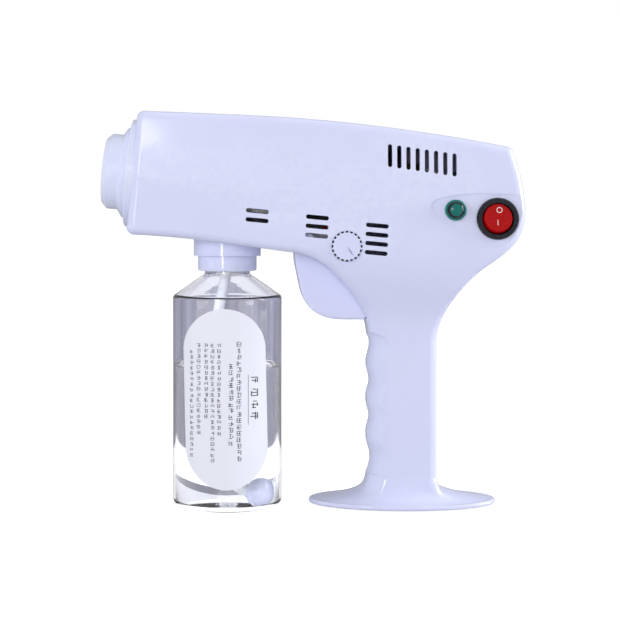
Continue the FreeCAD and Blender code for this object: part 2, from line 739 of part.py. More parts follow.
block = nose_box("heater_body", "heater_high", "heater_wide", -86, -40)
rod_rooms = []
elements = []
for side in (-1, 1):
    rod_rooms.append(rod("element_room%d" % side, 3.05, 60, nose_point(0, 10 * side, -92), NOSE))
    elements.append(rod("element%d" % side, 3.0, 52, nose_point(0, 10 * side, -89), NOSE))
rod_rooms.append(rod("steam_passage", 1.6, 60, nose_point(0, 0, -92), NOSE))
block_cut = cut("heater_drilled", block, join("heater_rooms", rod_rooms))
nipple = lathe("heater_nipple", [(0.7, -90), (1.5, -90), (1.5, -86), (0.7, -86)], nose_point(0, 0, 0), NOSE)
neck = lathe("heater_neck", [(0.7, -86), (1.6, -86), (1.6, -80), (0.7, -80)], nose_point(0, 0, 0), NOSE)
node(join("heater_block", [block_cut, nipple, neck]), "heater_block")
node(join("heating_element", elements), "heating_element")
sleeve = cut("shield_sleeve", nose_box("shield_out", "heater_high + 6", "heater_wide + 6", -87, -39),
             nose_box("shield_in", "heater_high + 4.4", "heater_wide + 4.4", -90, -36))
UPRIGHT = FreeCAD.Rotation(V(0, 1, 0), value("nose_tilt"))
node(cut("heat_shield", sleeve, rod("thermostat_room", 8.0, 12, nose_point(10, 0, -63), UPRIGHT)),
     "heat_shield")
node(lathe("thermostat", [(0, 0.05), (7, 0.05), (7, 4.2), (4.5, 4.2), (4.5, 6.0), (0, 6.0)],
           nose_point(13, 0, -63), UPRIGHT), "thermostat")
node(rod("thermal_fuse", 1.0, 11, nose_point(4, -17.1, -70), NOSE), "thermal_fuse")


# ---------------------------------------------------------------- bottle and its socket

collar = lathe("collar", [(14.6, "socket_low"), ("socket_radius", "socket_low"), ("socket_radius", 160),
                          (14.6, 160)], ("bottle_x", 0, 0))
collar_cut = cut("collar_trimmed", collar, outside)
core = lathe("socket_core", [(1.2, 142.2), (2.0, 142.2), (2.0, 147.3), (14.6, 147.3), (14.6, "socket_low"),
                             (16.0, "socket_low"), (16.0, 159.0), (0, 159.0), (0, 154.5), (1.2, 154.5)],
             ("bottle_x", 0, 0))
outlet = rod("socket_outlet", 1.5, 20, ("bottle_x", 0, 156.6), ALONG_X)
node(join("bottle_socket", [collar_cut, core, outlet]), "bottle_socket")
cap = lathe("bottle_cap", [(13.05, "cap_low"), ("cap_radius", "cap_low"), ("cap_radius", "cap_high"),
                           (14.5, "cap_high"), (14.5, 147.2), (4.0, 147.2), (4.0, 140.8), (13.05, 140.8)],
            ("bottle_x", 0, 0))
node(soften(cap, 1.3, [("cap_radius", "cap_low")]), "bottle_cap")
node(lathe("cap_gasket", [(6.0, 139.3), (12.8, 139.3), (12.8, 140.7), (6.0, 140.7)], ("bottle_x", 0, 0)),
     "cap_gasket")
flask = lathe("bottle", [
    (0, 1.0), (22, 0.9), (26, "bottle_floor"), ("bottle_radius", "bottle_floor"),
    ("bottle_radius", "shoulder_low"), (14.0, "shoulder_high"), ("neck_radius", "shoulder_high + 0.8"),
    ("neck_radius", 133.2), (12.3, 133.6), (12.3, 134.4), ("neck_radius", 134.8), ("neck_radius", 135.4),
    (12.3, 135.8), (12.3, 136.6), ("neck_radius", 137.0), ("neck_radius", 137.6), (12.3, 138.0),
    (12.3, "neck_top"), (11.2, "neck_top"), (11.2, "shoulder_high + 0.6"), (12.9, "shoulder_high - 1.0"),
    ("bottle_radius - bottle_wall", "shoulder_low - 0.6"), ("bottle_radius - bottle_wall", 3.6),
    ("bottle_radius - bottle_wall - 2", 1.6), (26, 1.6), (22, 1.9), (0, 2.0)], ("bottle_x", 0, 0))
soften(flask, "heel_round", [("bottle_radius", "bottle_floor")])
soften(flask, 2.5, [("bottle_radius", "shoulder_low")])
node(flask, "bottle")

film = lathe("label_film", [("bottle_radius + 0.02", 8), ("bottle_radius + 0.14", 8),
                            ("bottle_radius + 0.14", 117), ("bottle_radius + 0.02", 117)], ("bottle_x", 0, 0))
R_LABEL = value("label_half")
SPAN = value("label_span")
stadium = curves("label_outline", [
    line((-R_LABEL, SPAN), (-R_LABEL, -SPAN)), line((R_LABEL, -SPAN), (R_LABEL, SPAN)),
    Part.ArcOfCircle(Part.Circle(V(0, SPAN, 0), V(0, 0, 1), R_LABEL), 0, math.pi),
    Part.ArcOfCircle(Part.Circle(V(0, -SPAN, 0), V(0, 0, 1), R_LABEL), math.pi, 2 * math.pi)], SIDE)
stadium.Placement = FreeCAD.Placement(V(-100.5, -10, 63.1), FreeCAD.Rotation(V(0, 1, 0), -1.3).multiply(SIDE))
stamp = doc.addObject("Part::Extrusion", "label_stamp")
stamp.Base = stadium
stamp.DirMode = "Custom"
stamp.Dir = V(0, -1, 0)
stamp.LengthFwd = 30
stamp.Solid = True
node(common("bottle_label", [film, stamp]), "bottle_label")

TUBE = [("bottle_x", 0, 146.9), ("bottle_x", 0, 142.5), ("bottle_x", 0, 138), (-100.4, -0.5, 130),
        (-102.2, -1.5, 122), (-104.6, -2.8, 112), (-106.0, -3.6, 96), (-105.6, -4.0, 60), (-103.4, -4.4, 34),
        (-99.4, -5.2, 18.5), (-93.8, -6.2, 11.6), (-87.8, -6.9, 9.5)]
node(hose("suction_tube", TUBE, "tube_r", "tube_bore"), "suction_tube")
tube_room = hose("tube_room", TUBE, "tube_r + 0.05")
for name, low in (("filter_ball_top", 0), ("filter_ball_base", -90)):
    ball = doc.addObject("Part::Sphere", name + "_sphere")
    bind(ball, Radius="ball_r")
    ball.Angle1 = low
    ball.Angle2 = low + 90
    seam = FreeCAD.Rotation(V(0, 1, 0), 24)
    place(ball, (-84.3, -7.0, 9.35), seam)
    node(cut(name, ball, tube_room), name)


# ---------------------------------------------------------------- trigger group

def trigger_piece():
    front = [(-61.6, 154.3), (-61.9, 148.0), (-61.8, 142.0), (-60.8, 134.6), (-59.2, 126.7), (-57.5, 119.8),
             (-55.2, 114.9), (-51.8, 110.9), (-47.3, 108.0), (-41.7, 106.2), (-35.0, 105.5), (-23.2, 105.4)]
    rear = [(-20.8, 108.0), (-26.0, 122.0), (-33.0, 132.5), (-38.5, 139.0)]
    corners = [front[0], (-25.0, 154.3), (-25.0, 150.0), (-38.5, 150.0), rear[-1]]
    body, sketch = new_body("trigger", "XZ_Plane")
    for piece in [spline(front), line(front[-1], rear[0]), spline(rear)]:
        sketch.addGeometry(piece, False)
    for a, b in zip(corners, corners[1:]):
        sketch.addGeometry(line(a, b), False)
    circle(sketch, "pin_x", "pin_z", "pin_r + 0.05")
    pad = body.newObject("PartDesign::Pad", "trigger_pad")
    pad.Profile = sketch
    pad.Midplane = True
    pad.setExpression("Length", bound("2*trigger_half"))
    body.Tip = pad
    doc.recompute()
    names = []
    for number, edge in enumerate(pad.Shape.Edges, start=1):
        middle = edge.valueAt((edge.FirstParameter + edge.LastParameter) / 2)
        if edge.Length > 50 and abs(middle.y) > 5:
            names.append("Edge%d" % number)
    fillet = body.newObject("PartDesign::Fillet", "trigger_round")
    fillet.Base = (pad, names)
    fillet.Radius = 2.0
    body.Tip = fillet
    return body


def spring(name, radius, wire, pitch, length, at, turn=None):
    """Coil spring wound along its own Z."""
    helix = doc.addObject("Part::Helix", name + "_helix")
    helix.Pitch = pitch
    helix.Height = length - 2 * wire
    helix.Radius = radius
    round_wire = doc.addObject("Part::Circle", name + "_wire")
    round_wire.Radius = wire
    round_wire.Placement = FreeCAD.Placement(V(radius, 0, 0), FreeCAD.Rotation(V(1, 0, 0), 90))
    sweep = doc.addObject("Part::Sweep", name)
    sweep.Sections = [round_wire]
    sweep.Spine = (helix, ["Edge1"])
    sweep.Solid = True
    sweep.Frenet = True
    doc.recompute()
    sweep.Placement = FreeCAD.Placement(V(*at) + (turn or FreeCAD.Rotation()).multVec(V(0, 0, wire)),
                                        turn or FreeCAD.Rotation())
    return sweep


node(trigger_piece(), "trigger")
node(side_rod("trigger_pin", "pin_r", 33, "pin_x", "pin_z", -16.5), "trigger_pin")
node(spring("trigger_spring", 3.0, 0.45, 2.4, 13.5, (-29, 0, 154.4)), "trigger_spring")
switch_case = join("switch_blocks", [box("switch_box", (20, 6.4, 9), (-54, -3.2, 160))] + [
    box("switch_leg%d" % i, (2.4, 4.0, 0.6), (-52 + 7 * i, 3.2, 164)) for i in range(3)])
node(cut("microswitch", switch_case, rod("plunger_room", 1.0, 7, (-44, 0, 159.5))), "microswitch")
node(lathe("switch_plunger", [(0, 154.65), (0.5, 154.75), (0.95, 155.4), (0.95, 163.6), (0, 163.6)],
           (-44, 0, 0)), "switch_plunger")


# ---------------------------------------------------------------- dial, lamp and rocker switch

def dial_piece():
    disc = lathe("dial_disc", [(3.0, 26.8), ("dial_r", 26.8), ("dial_r", 30.9), ("dial_r - 0.5", 31.3), (0, 31.3),
                               (0, 29.5), (3.0, 29.5)], ("dial_x", 0, "dial_z"), SIDE)
    tools = []
    for i in range(20):
        angle = math.radians(18 * i)
        x = value("dial_x") + value("dial_r") * math.cos(angle)
        z = value("dial_z") + value("dial_r") * math.sin(angle)
        tools.append(side_rod("notch_%d" % i, 0.8, 10, x, z, -35))
    turn = FreeCAD.Rotation(V(0, 1, 0), 147)
    tools.append(box("pointer", (0.9, 1.0, 5.6), (value("dial_x") + 0.9, -31.8, value("dial_z") - 0.3), turn))
    return cut("dial", disc, join("dial_cuts", tools))


node(dial_piece(), "dial")
node(lathe("potentiometer", [(0, 15.8), (8, 15.8), (8, 24), (3.4, 24), (3.4, 26.6), (2.95, 26.6),
                             (2.95, 29.3), (0, 29.3)], ("dial_x", 0, "dial_z"), SIDE), "potentiometer")
lens = lathe("lamp_lens", [(0, 28), (4.6, 28), (4.6, 33.6), (4.3, 34.4), (3.4, 35.1), (1.9, 35.6), (0, 35.8)],
             ("lamp_x", 0, "lamp_z"), SIDE)
node(lens, "lamp_lens")
node(lathe("lamp_body", [(0, 14), ("lamp_r - 0.55", 14), ("lamp_r - 0.55", 30.85), ("lamp_r", 30.85),
                         ("lamp_r", 32.8), ("lamp_r - 0.4", 33.2), (4.65, 33.2), (4.65, 27.9), (0, 27.9)],
           ("lamp_x", 0, "lamp_z"), SIDE), "lamp_body")
housing = lathe("rocker_case", [
    (0, 12), ("rocker_r - 1.6", 12), ("rocker_r - 1.6", 30.85), ("rocker_r", 30.85), ("rocker_r", 32.8),
    ("rocker_r - 0.6", 33.6), ("button_r + 0.6", 33.6), ("button_r + 0.15", 33.0), ("button_r + 0.15", 19.0),
    (0, 19.0)], ("rocker_x", 0, "rocker_z"), SIDE)
tabs = [box("rocker_tab%d" % i, (0.8, 6, 4.8), (44.3 + 4.4 * i, -12.05, 160)) for i in range(3)]
pivot_room = rod("pivot_room", 1.25, 19.4, (39.0, -30.4, "rocker_z"), ALONG_X)
node(cut("rocker_housing", join("housing_solid", [housing] + tabs), pivot_room), "rocker_housing")
sphere = doc.addObject("Part::Sphere", "button_sphere")
bind(sphere, Radius="button_r")
place(sphere, ("rocker_x", -30.4, "rocker_z"))
lean = FreeCAD.Rotation(V(1, 0, 0), -10)
face = box("button_face", (30, 8.6, 30), V(48.7, -30.4, 162.4) + lean.multVec(V(-15, -3.6, -15)), lean)
pivot = rod("rocker_pivot", 1.2, 19.2, (39.1, -30.4, "rocker_z"), ALONG_X)
node(join("rocker_button", [common("button_solid", [sphere, face]), pivot]), "rocker_button")


# ---------------------------------------------------------------- pump and hoses

coil = rod("coil_round", "coil_r", "coil_long", ("pump_x - coil_long/2", 0, "pump_z"), ALONG_X)
node(cut("pump_coil", coil, rod("coil_bore", 6.1, 60, (-50, 0, "pump_z"), ALONG_X)), "pump_coil")
walls = [box("frame_front", (2.0, 29, 29), (-28.1, -14.5, 173.5)),
         box("frame_rear", (2.0, 29, 29), (-1.9, -14.5, 173.5)),
         box("frame_base", (28.2, 29, 1.4), (-28.1, -14.5, 173.5))]
node(cut("pump_frame", join("frame_walls", walls), rod("frame_bore", 6.1, 60, (-50, 0, "pump_z"), ALONG_X)),
     "pump_frame")
node(lathe("pump_tube", [(0.7, -46), (1.5, -46), (1.5, -40), (6, -40), (6, 10), (1.5, 10), (1.5, 14),
                         (0.7, 14), (0.7, 6), (4.05, 6), (4.05, -36), (0.7, -36)], (0, 0, "pump_z"), ALONG_X),
     "pump_tube")
node(lathe("pump_piston", [(0.8, -24), (4.0, -24), (4.0, -3), (0.8, -3)], (0, 0, "pump_z"), ALONG_X),
     "pump_piston")
node(spring("pump_spring", 3.2, 0.35, 1.7, 8.6, (-2.7, 0, value("pump_z")), ALONG_X), "pump_spring")
node(hose("inlet_hose", [(-79.7, 0, 156.6), (-76, 0.3, 156.8), (-68, 7, 158.4), (-58, 15, 159.2),
                         (-40, 15.6, 159.4), (-26, 15.6, 159.4), (-8, 15.4, 161.5), (8, 13, 168),
                         (19, 7.5, 178.5), (22, 2.2, 186), (18.2, 0.1, 188), (14.1, 0, 188)],
          "hose_r", "hose_bore"), "inlet_hose")
HEATER_END = nose_point(0, 0, -90.1)
node(hose("outlet_hose", [(-46.1, 0, 188), (-51, 0, 188), (HEATER_END[0] + 5, 0, HEATER_END[2] - 0.46),
                          HEATER_END], "hose_r", "hose_bore"), "outlet_hose")


# ---------------------------------------------------------------- electrics

node(box("control_board", (24, 1.6, 41), (30, 9, 148.65)), "control_board")
node(join("board_parts", [box("relay", (12, 9.9, 15), (31, -0.95, 172)), box("supply", (11, 9, 12), (31, -0.05, 153)),
                          side_rod("capacitor", 5.0, 12, 48, 182, -3.05)]), "board_parts")
block_ways = [side_rod("way_%d" % i, 2.2, 8, 16 + 8 * i, 138, -5) for i in range(3)]
node(cut("terminal_block", box("terminal_box", (24, 10, 8), (12, -4, 134)), join("ways", block_ways)),
     "terminal_block")
inlet_block = box("inlet_box", (17, 13.2, 12), (-8.5, 4, 29))
inlet_rooms = [side_rod("inlet_room%d" % side, 3.2, 12, 4.3 * side, 35, 7.5) for side in (-1, 1)]
inlet_rooms.append(box("inlet_waist", (8.6, 12, 3.2), (-4.3, 7.5, 33.4)))
inlet_pins = [side_rod("inlet_pin%d" % side, 1.2, 8.5, 4.3 * side, 35, 7.4) for side in (-1, 1)]
node(join("power_inlet", [cut("inlet_case", inlet_block, join("inlet_rooms", inlet_rooms))] + inlet_pins),
     "power_inlet")
WIRES = [
    [(-5, 2.9, 36), (-8.5, 1.5, 47), (-9, 1.2, 70), (-7, 1.2, 92), (-2.0, 1.2, 108), (3, 1.5, 122), (18, 2, 132.9)],
    [(0, 2.9, 37), (-5.5, -2.2, 48), (-6, -3, 70), (-4, -3, 92), (-3, -3, 112), (5, -3, 123), (24, -2, 132.9)],
    [(30, -5.2, 139), (38, -8, 149), (44.5, -6, 157), (48.9, -4.9, 162)],
    [(16, 3, 143.1), (20, 5, 150), (29, 8.5, 158)],
    [(29, 9.8, 186), (16, 12.5, 190), (1.3, 11, 191)],
    [(14, -5.2, 140), (8, -12, 152), (-6, -18, 166), (-26, -18.6, 176), (-50, -14, 181), (-63.0, -10, 180.9)],
]
node(join("wiring", [hose("wire_%d" % i, run, 0.9) for i, run in enumerate(WIRES)]), "wiring")


# ---------------------------------------------------------------- foot plate, pads and screws

plate_tools = []
pads = []
foot_screws = []
for i, (x, y) in enumerate(PADS):
    plate_tools.append(rod("pad_room%d" % i, "pad_r + 0.05", 1.0, (x, y, 0.35)))
    pads.append(rod("pad_%d" % i, "pad_r", 1.3, (x, y, 0)))
for i, (x, y) in enumerate(FOOT_SCREWS):
    plate_tools.append(rod("foot_hole%d" % i, "screw_r + 0.1", 4, (x, y, 0.5)))
    plate_tools.append(rod("foot_head_room%d" % i, 2.9, 1.3, (x, y, 0.6)))
    foot_screws.append(lathe("foot_screw%d" % i, [(0, 0.9), (2.7, 0.9), (2.7, 1.85), ("screw_r", 1.85),
                                                  ("screw_r", 6.6), (0, 6.6)], (x, y, 0)))
node(cut("foot_plate", ellipse_disc("foot_plate_disc", 48.8, 21.8, 2.0, 0.8),
         join("foot_plate_cuts", plate_tools)), "foot_plate")
node(join("foot_pads", pads), "foot_pads")
node(join("foot_screws", foot_screws), "foot_screws")
shell_screws = [lathe("shell_screw%d" % i, [(0, 12.2), (2.7, 12.2), (2.7, 10.05), ("screw_r", 10.05),
                                            ("screw_r", -12.6), (0, -12.6)], (x, 0, z), BACK)
                for i, (x, z) in enumerate(SCREWS)]
node(join("shell_screws", shell_screws), "shell_screws")


# ---------------------------------------------------------------- write the pieces out

doc.recompute()
for thing in doc.Objects:
    if "Invalid" in thing.State or "Error" in thing.State:
        raise RuntimeError("%s did not build: %s" % (thing.Label, thing.State))

os.makedirs("parts", exist_ok=True)
for thing in NODES:
    shape = thing.Shape
    if shape.isNull() or not shape.isValid() or not shape.Solids:
        raise RuntimeError("%s has no sound solid" % thing.Label)
    shape.exportStep("parts/%s.step" % thing.Label)
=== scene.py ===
import json
import math
import random

import bmesh
import bpy
from mathutils import Euler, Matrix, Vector


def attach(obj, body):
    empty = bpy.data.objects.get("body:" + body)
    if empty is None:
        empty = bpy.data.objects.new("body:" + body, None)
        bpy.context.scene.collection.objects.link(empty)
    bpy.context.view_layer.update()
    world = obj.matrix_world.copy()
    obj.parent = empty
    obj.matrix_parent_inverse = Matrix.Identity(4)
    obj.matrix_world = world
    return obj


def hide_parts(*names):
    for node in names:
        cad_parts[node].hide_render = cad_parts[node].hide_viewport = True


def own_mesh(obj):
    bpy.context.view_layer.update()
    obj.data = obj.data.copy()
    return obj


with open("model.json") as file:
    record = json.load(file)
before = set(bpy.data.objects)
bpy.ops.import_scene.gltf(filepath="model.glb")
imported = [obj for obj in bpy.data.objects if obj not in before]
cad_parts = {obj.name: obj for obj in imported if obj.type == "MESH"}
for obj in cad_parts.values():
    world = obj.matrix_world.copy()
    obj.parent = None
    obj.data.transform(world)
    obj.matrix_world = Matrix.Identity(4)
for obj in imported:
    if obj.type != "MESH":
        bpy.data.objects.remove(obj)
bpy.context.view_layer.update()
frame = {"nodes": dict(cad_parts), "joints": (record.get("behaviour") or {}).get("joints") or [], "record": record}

# Shapes are given in millimetres and turned into metres by MM. Looks and the studio are in metres.
MM = 0.001
PIVOTS = {joint["name"]: Vector(joint["pos_m"]) / MM for joint in frame["joints"] if "pos_m" in joint}

# the bottle's axis, its bore, its outside and the label on it
BOTTLE_X, BORE_R, BOTTLE_R, LABEL_THICK = -99.8, 30.0, 31.05, 0.14


# ---------------------------------------------------------------- node and material tools

def colour(red, green, blue):
    """Linear colour from everyday 0-255 numbers."""
    linear = []
    for number in (red, green, blue):
        share = number / 255
        linear.append(share / 12.92 if share <= 0.04045 else ((share + 0.055) / 1.055) ** 2.4)
    return (linear[0], linear[1], linear[2], 1.0)


def dimmed(tone, share):
    return (tone[0] * share, tone[1] * share, tone[2] * share, 1.0)


class Nodes:
    """A node tree, with the few kinds of node that the looks share."""

    def __init__(self, tree):
        self.tree = tree

    def feed(self, socket, value):
        """Gives an input either a plain value or a link from another node."""
        if isinstance(value, bpy.types.NodeSocket):
            self.tree.links.new(value, socket)
        else:
            socket.default_value = value

    def add(self, kind, inputs=None, **settings):
        """New node; inputs go by name or by number."""
        node = self.tree.nodes.new("ShaderNode" + kind)
        for name, value in settings.items():
            setattr(node, name, value)
        for name, value in (inputs or {}).items():
            self.feed(node.inputs[name], value)
        return node

    def place(self):
        """The point on the object, in metres."""
        return self.add("TexCoord").outputs["Object"]

    def height_of(self, direction):
        """The upward part of a point or a direction."""
        return self.add("SeparateXYZ", {0: direction}).outputs["Z"]

    def noise(self, size, detail, stretch=(1, 1, 1)):
        """Noise whose blobs are about this many metres across."""
        mapping = self.add("Mapping", {"Vector": self.place(), "Scale": stretch})
        texture = self.add("TexNoise", {"Vector": mapping.outputs["Vector"], "Scale": 1 / size,
                                        "Detail": detail})
        return texture.outputs["Fac"]

    def spread(self, source, low, high, start=0.3, end=0.7):
        """The source's values from start to end, taken to values from low to high."""
        node = self.add("MapRange", {"Value": source, "From Min": start, "From Max": end,
                                     "To Min": low, "To Max": high})
        return node.outputs["Result"]

    def mix(self, amount, first, second):
        """Colour mix; first and second are colours or sockets."""
        return self.add("Mix", {0: amount, 6: first, 7: second}, data_type="RGBA").outputs[2]

    def maths(self, operation, first, second):
        return self.add("Math", {0: first, 1: second}, operation=operation).outputs[0]

    def seen_by_camera(self):
        """1 where the camera looks, also through clear pieces, and 0 for all other rays."""
        ray = self.add("LightPath")
        return self.maths("MAXIMUM", ray.outputs["Is Camera Ray"], ray.outputs["Is Transmission Ray"])


class Look(Nodes):
    """A principled material that is built up layer by layer."""

    def __init__(self, name, tone, rough):
        self.material = bpy.data.materials.new(name)
        self.material.use_nodes = True
        super().__init__(self.material.node_tree)
        self.shader = self.tree.nodes["Principled BSDF"]
        self.tone = tone
        self.rough = rough
        self.set(Base_Color=tone, Roughness=rough)

    def set(self, **values):
        """Shader inputs by name, with _ for a space."""
        for name, value in values.items():
            self.feed(self.shader.inputs[name.replace("_", " ")], value)
        return self

    def mottle(self, size, depth):
        """Broad faint colour variation."""
        amount = self.spread(self.noise(size, 4.0), 0, 1)
        return self.set(Base_Color=self.mix(amount, dimmed(self.tone, 1 - depth),
                                            dimmed(self.tone, 1 + depth / 2)))

    def wear(self, tone, depth):
        """Edges rubbed towards another colour, broken up by noise; comes after mottle."""
        edge = self.spread(self.add("NewGeometry").outputs["Pointiness"], 0, depth, 0.52, 0.62)
        broken = self.spread(self.noise(0.003, 5.0), 0.2, 1.0, 0.4, 0.6)
        under = self.shader.inputs["Base Color"].links[0].from_socket
        return self.set(Base_Color=self.mix(self.maths("MULTIPLY", edge, broken), under, tone))

    def polish(self, size, swing, stretch=(1, 1, 1)):
        """Roughness that varies round its middle value."""
        source = self.noise(size, 5.0, stretch)
        return self.set(Roughness=self.spread(source, self.rough * (1 - swing), self.rough * (1 + swing)))

    def bump(self, size, height, detail=2.0, stretch=(1, 1, 1)):
        """Fine relief; size and height are in metres."""
        node = self.add("Bump", {"Strength": 1.0, "Distance": height,
                                 "Height": self.noise(size, detail, stretch)})
        return self.set(Normal=node.outputs["Normal"])

    def let_light_in(self):
        """Shadow rays pass, so that whatever is inside gets direct light."""
        choice = self.add("MixShader", {0: self.add("LightPath").outputs["Is Shadow Ray"],
                                        1: self.shader.outputs[0],
                                        2: self.add("BsdfTransparent").outputs[0]})
        self.feed(self.tree.nodes["Material Output"].inputs["Surface"], choice.outputs[0])


def moulded(name, tone, rough, grain=0.000004, fine=0.0015):
    """Injection-moulded plastic; grain and fine are the height and size of its orange peel."""
    look = Look(name, tone, rough).mottle(0.03, 0.015).polish(0.004, 0.3, (1, 1, 4))
    return look.bump(fine, grain)


def metal(name, tone, rough, brushed=(1, 1, 1)):
    """Bare metal; its brush lines run across the axis with the larger number."""
    look = Look(name, tone, rough).mottle(0.004, 0.12).polish(0.0015, 0.35, brushed)
    return look.set(Metallic=1.0).bump(0.0008, 0.000006, 3.0, brushed)


def rubbery(name, tone, rough):
    return Look(name, tone, rough).mottle(0.006, 0.1).polish(0.002, 0.2).bump(0.0006, 0.00001, 4.0)


def printed(name, tone, rough, size, depth):
    """Thin layer of ink or paint, mottled in blobs of a size."""
    return Look(name, tone, rough).mottle(size, depth).polish(0.001, 0.2).bump(0.0003, 0.000004)


# ---------------------------------------------------------------- materials, by the record's slots

WHITE = colour(214, 218, 248)
NOSE_WHITE = colour(222, 227, 252)
WORN = colour(236, 239, 252)

looks = {
    "shell_plastic": moulded("abs_white", WHITE, 0.1, 0.0000015).wear(WORN, 0.25),
    "nose_plastic": moulded("abs_nose", NOSE_WHITE, 0.14, 0.000002).wear(WORN, 0.25),
    "cap_plastic": moulded("cap_white", colour(216, 220, 250), 0.12, 0.000002),
    "trigger_plastic": moulded("trigger_white", colour(218, 221, 252), 0.12, 0.0000015).wear(WORN, 0.25),
    "ball_plastic": moulded("ball_white", colour(206, 211, 240), 0.25),
    "dial_plastic": moulded("dial_white", colour(212, 216, 247), 0.35, 0.000008),
    "black_plastic": moulded("black_gloss", colour(20, 21, 30), 0.2).wear(colour(60, 62, 74), 0.4),
    "red_plastic": moulded("rocker_red", colour(168, 5, 7), 0.3).set(Specular_IOR_Level=0.2),
    "green_lens": moulded("lamp_green", colour(2, 104, 96), 0.15, 0.00003, 0.001),
    "dark_plastic": moulded("dark_moulded", colour(52, 53, 58), 0.45, 0.00001),
    "coil_black": moulded("coil_black", colour(36, 36, 40), 0.4, 0.00002, 0.0008),
    "board_green": moulded("board_green", colour(30, 88, 56), 0.35, 0.00001),
    "wire_red": moulded("wire_red", colour(168, 34, 30), 0.4),
    "led_plastic": moulded("led_blue", colour(120, 150, 240), 0.2),
    "steel_zinc": metal("zinc_steel", colour(190, 192, 196), 0.32),
    "element_steel": metal("element_steel", colour(150, 140, 128), 0.4),
    "aluminium_cast": metal("cast_aluminium", colour(196, 198, 202), 0.45),
    "brass_turned": metal("turned_brass", colour(200, 164, 92), 0.24, (1, 1, 6)),
    "gasket_rubber": rubbery("gasket_black", colour(44, 44, 46), 0.6),
    "pad_rubber": rubbery("pad_rubber", colour(58, 58, 62), 0.65),
    "hose_silicone": rubbery("hose_silicone", colour(222, 224, 228), 0.4),
}

label = Look("label_paper", colour(232, 234, 246), 0.38).mottle(0.02, 0.012).polish(0.003, 0.2)
looks["label_paper"] = label.bump(0.0004, 0.000006, 4.0)

tube = Look("tube_milky", colour(232, 236, 244), 0.3).mottle(0.008, 0.03).polish(0.004, 0.3)
looks["tube_silicone"] = tube.set(Transmission_Weight=0.12, IOR=1.41).bump(0.002, 0.00001)

clear = Look("bottle_clear", colour(253, 253, 255), 0.02).mottle(0.03, 0.004).polish(0.01, 0.5)
clear.set(Transmission_Weight=1.0, IOR=1.5).bump(0.012, 0.00003, 2.0, (1, 1, 0.35))
clear.let_light_in()
looks["bottle_plastic"] = clear

lens = Look("lamp_ring_clear", colour(226, 234, 250), 0.08).mottle(0.01, 0.02).polish(0.003, 0.4)
looks["lens_plastic"] = lens.set(Transmission_Weight=0.9, IOR=1.5)


def dress(name, look):
    """Gives a node of the frame its material."""
    node = frame["nodes"][name]
    node.data.materials.clear()
    node.data.materials.append(look.material)


for entry in frame["record"]["subparts"]:
    dress(entry["node"], looks[entry["material_slot"]])


# ---------------------------------------------------------------- mesh tools

def piece(name, shape, look, body, smooth=40):
    """Finished mesh piece from a bmesh, riding on a body."""
    bmesh.ops.recalc_face_normals(shape, faces=shape.faces)
    mesh = bpy.data.meshes.new(name)
    shape.to_mesh(mesh)
    shape.free()
    for polygon in mesh.polygons:
        polygon.use_smooth = True
    mesh.set_sharp_from_angle(angle=math.radians(smooth))
    thing = bpy.data.objects.new(name, mesh)
    bpy.context.scene.collection.objects.link(thing)
    mesh.materials.append(look.material)
    if body:
        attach(thing, body)
    return thing


def turned(shape, profile, centre, steps):
    """Closed turned skin about a vertical axis; profile points are (radius, height)."""
    rings = []
    for radius, height in profile:
        angles = [2 * math.pi * i / steps for i in range(steps if radius else 1)]
        rings.append([shape.verts.new((centre + Vector((radius * math.cos(angle), radius * math.sin(angle),
                                                        height))) * MM) for angle in angles])
    for lower, upper in zip(rings, rings[1:]):
        for i in range(steps):
            after = (i + 1) % steps
            if len(lower) == 1:
                shape.faces.new((lower[0], upper[after], upper[i]))
            elif len(upper) == 1:
                shape.faces.new((lower[i], lower[after], upper[0]))
            else:
                shape.faces.new((lower[i], lower[after], upper[after], upper[i]))


def near_side(centre):
    """Turns (across, up, out from the middle plane) into a point in metres on the near side."""
    return lambda across, up, out: Vector((centre.x + across, -out, centre.z + up)) * MM


def patch(shape, place, corners, out):
    """One flat face with (across, up) corners."""
    shape.faces.new([shape.verts.new(place(across, up, out)) for across, up in corners])


def band(shape, place, inner, outer, steps, middle=(0, 0)):
    """Ring of faces between two circles, each given as (radius, out)."""
    for i in range(steps):
        corners = []
        for (radius, out), step in ((inner, i), (outer, i), (outer, i + 1), (inner, i + 1)):
            angle = 2 * math.pi * step / steps
            corners.append(shape.verts.new(place(middle[0] + radius * math.cos(angle),
                                                 middle[1] + radius * math.sin(angle), out)))
        shape.faces.new(corners)


def joined(shape):
    """Makes one skin of faces that meet."""
    bmesh.ops.remove_doubles(shape, verts=shape.verts, dist=1e-7)
    return shape


# ---------------------------------------------------------------- liquid and droplets

water = Look("liquid", colour(252, 253, 255), 0.0).mottle(0.05, 0.004)
water.set(Transmission_Weight=1.0, IOR=1.333).bump(0.02, 0.00001)
water.let_light_in()

WATER_GAP = 0.02
WATER_R = BORE_R - WATER_GAP
LEVEL = 79.0
# (radius, height) over the bottle's raised bottom, up its wall and in along the surface
BOTTOM = [(0, 2.04), (21.9, 1.94), (26, 1.64), (27.9, 1.64)]
WALL = [(WATER_R, 3.66), (WATER_R, 20), (WATER_R, 50), (WATER_R, LEVEL + 0.7)]
SURFACE = [(29.7, LEVEL + 0.35), (29.1, LEVEL + 0.1), (27.8, LEVEL), (15, LEVEL), (0, LEVEL)]

fill = bmesh.new()
turned(fill, BOTTOM + WALL + SURFACE, Vector((BOTTLE_X, 0, 0)), 160)
piece("liquid", fill, water, "bottle", smooth=50)

DROPLETS = 46
DROPLET_BANDS = [(84, 116), (96, 117)]
DROPLET_R = (0.12, 0.34)
DROPLET_FLATTENING = 0.6

